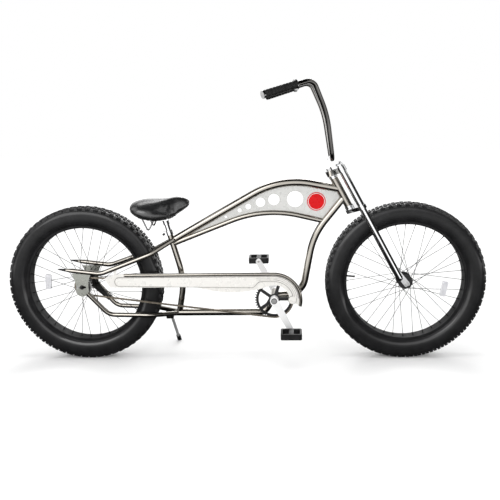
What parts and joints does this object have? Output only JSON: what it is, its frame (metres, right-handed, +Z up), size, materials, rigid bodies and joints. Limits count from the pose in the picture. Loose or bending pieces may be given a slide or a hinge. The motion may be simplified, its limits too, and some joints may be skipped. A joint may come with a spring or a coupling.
{
  "type": "beach cruiser bicycle",
  "caption": "Stretched chopper-style cruiser bicycle with fat tyres, laid-back twin-crown fork, tall swept handlebar, arched frame with pierced panel, chain guard and kickstand.",
  "frame": {"origin": "on the ground, midway between the axles, in the bicycle's middle plane", "axes": "+X forwards, +Y to the rider's left, +Z up"},
  "size_m": [2.2758, 0.6384, 1.3086],
  "materials": {
    "frame_paint": "gloss metallic",
    "panel_paint": "satin metallic",
    "guard_paint": "satin metallic",
    "emblem_red": "gloss",
    "chrome": "polished",
    "steel": "brushed",
    "chain_steel": "oiled",
    "black_metal": "satin",
    "tyre_rubber": "matte",
    "soft_rubber": "matte",
    "black_plastic": "matte",
    "saddle_vinyl": "satin vinyl over foam",
    "rim_alloy": "black anodised",
    "crown_alloy": "polished",
    "clear_plastic": "gloss"
  },
  "bodies": {
    "frame": {"head_tube": "frame_paint", "top_tube": "frame_paint", "arch_tube": "frame_paint", "down_tube": "frame_paint", "bottom_tube": "frame_paint", "seat_tube": "frame_paint", "seat_stays": "frame_paint", "chain_stays": "frame_paint", "dropouts": "frame_paint", "bottom_bracket_shell": "frame_paint", "frame_panel": "panel_paint", "emblem_disc": "emblem_red", "seat_collar": "chrome", "bearing_cups": "steel", "chain_guard": "guard_paint", "chain_guard_bead": "frame_paint", "kickstand_bracket": "steel", "rear_axle": "steel", "frame_fasteners": "steel", "coaster_brake_arm": "black_metal", "chain": "chain_steel"},
    "saddle": {"seat_post": "chrome", "saddle_clamp": "chrome", "saddle_rails": "chrome", "saddle_base": "black_plastic", "saddle_cover": "saddle_vinyl"},
    "steering": {"steerer_tube": "chrome", "headset_cones": "chrome", "upper_crown": "crown_alloy", "lower_crown": "crown_alloy", "fork_legs": "chrome", "handlebar": "chrome", "handlebar_clamp_cap": "crown_alloy", "steering_fasteners": "steel", "left_grip": "soft_rubber", "right_grip": "soft_rubber", "grip_trim": "chrome", "front_axle": "steel"},
    "front_wheel": {"front_tyre": "tyre_rubber", "front_inner_tube": "soft_rubber", "front_rim": "rim_alloy", "front_spokes": "steel", "front_hub": "chrome", "front_reflector": "clear_plastic"},
    "rear_wheel": {"rear_tyre": "tyre_rubber", "rear_inner_tube": "soft_rubber", "rear_rim": "rim_alloy", "rear_spokes": "steel", "rear_hub": "chrome", "rear_reflector": "clear_plastic"},
    "crank": {"crank_spindle": "steel", "right_crank": "chrome", "left_crank": "chrome", "chainring": "black_metal", "pedal_spindles": "steel"},
    "sprocket": {"rear_sprocket": "steel"},
    "left_pedal": {"left_pedal": "black_plastic"},
    "right_pedal": {"right_pedal": "black_plastic"},
    "kickstand": {"kickstand_leg": "steel", "kickstand_foot": "soft_rubber"}
  },
  "joints": [
    {"name": "steering", "type": "hinge", "parent": "frame", "child": "steering", "pos_m": [0.70611, 0, 0.34448], "axis": [-0.4695, 0, 0.8829], "range_deg": [-50, 50]},
    {"name": "front_wheel_spin", "type": "hinge", "parent": "steering", "child": "front_wheel", "pos_m": [0.7635, 0, 0.375], "axis": [0, 1, 0], "continuous": true},
    {"name": "rear_wheel_spin", "type": "hinge", "parent": "frame", "child": "rear_wheel", "pos_m": [-0.7635, 0, 0.375], "axis": [0, 1, 0], "continuous": true},
    {"name": "crank_spin", "type": "hinge", "parent": "frame", "child": "crank", "pos_m": [0.14692, 0, 0.305], "axis": [0, 1, 0], "continuous": true, "deforming": ["chain"]},
    {"name": "rear_sprocket_spin", "type": "hinge", "parent": "frame", "child": "sprocket", "pos_m": [-0.7635, 0, 0.375], "axis": [0, 1, 0], "continuous": true},
    {"name": "right_pedal_spin", "type": "hinge", "parent": "crank", "child": "right_pedal", "pos_m": [0.22565, 0, 0.15999], "axis": [0, 1, 0], "continuous": true},
    {"name": "left_pedal_spin", "type": "hinge", "parent": "crank", "child": "left_pedal", "pos_m": [0.06819, 0, 0.45], "axis": [0, 1, 0], "continuous": true},
    {"name": "kickstand_fold", "type": "hinge", "parent": "frame", "child": "kickstand", "pos_m": [-0.3715, 0.05, 0.197], "axis": [0.0577, 0.7509, 0.6579], "range_deg": [0, 85.1]},
    {"name": "seat_height", "type": "slide", "parent": "frame", "child": "saddle", "axis": [-0.2588, 0, 0.9659], "range_m": [-0.02, 0.06]}
  ],
  "couplings": [
    {"joint": "rear_sprocket_spin", "follows": "crank_spin", "ratio": 2.2}
  ]
}
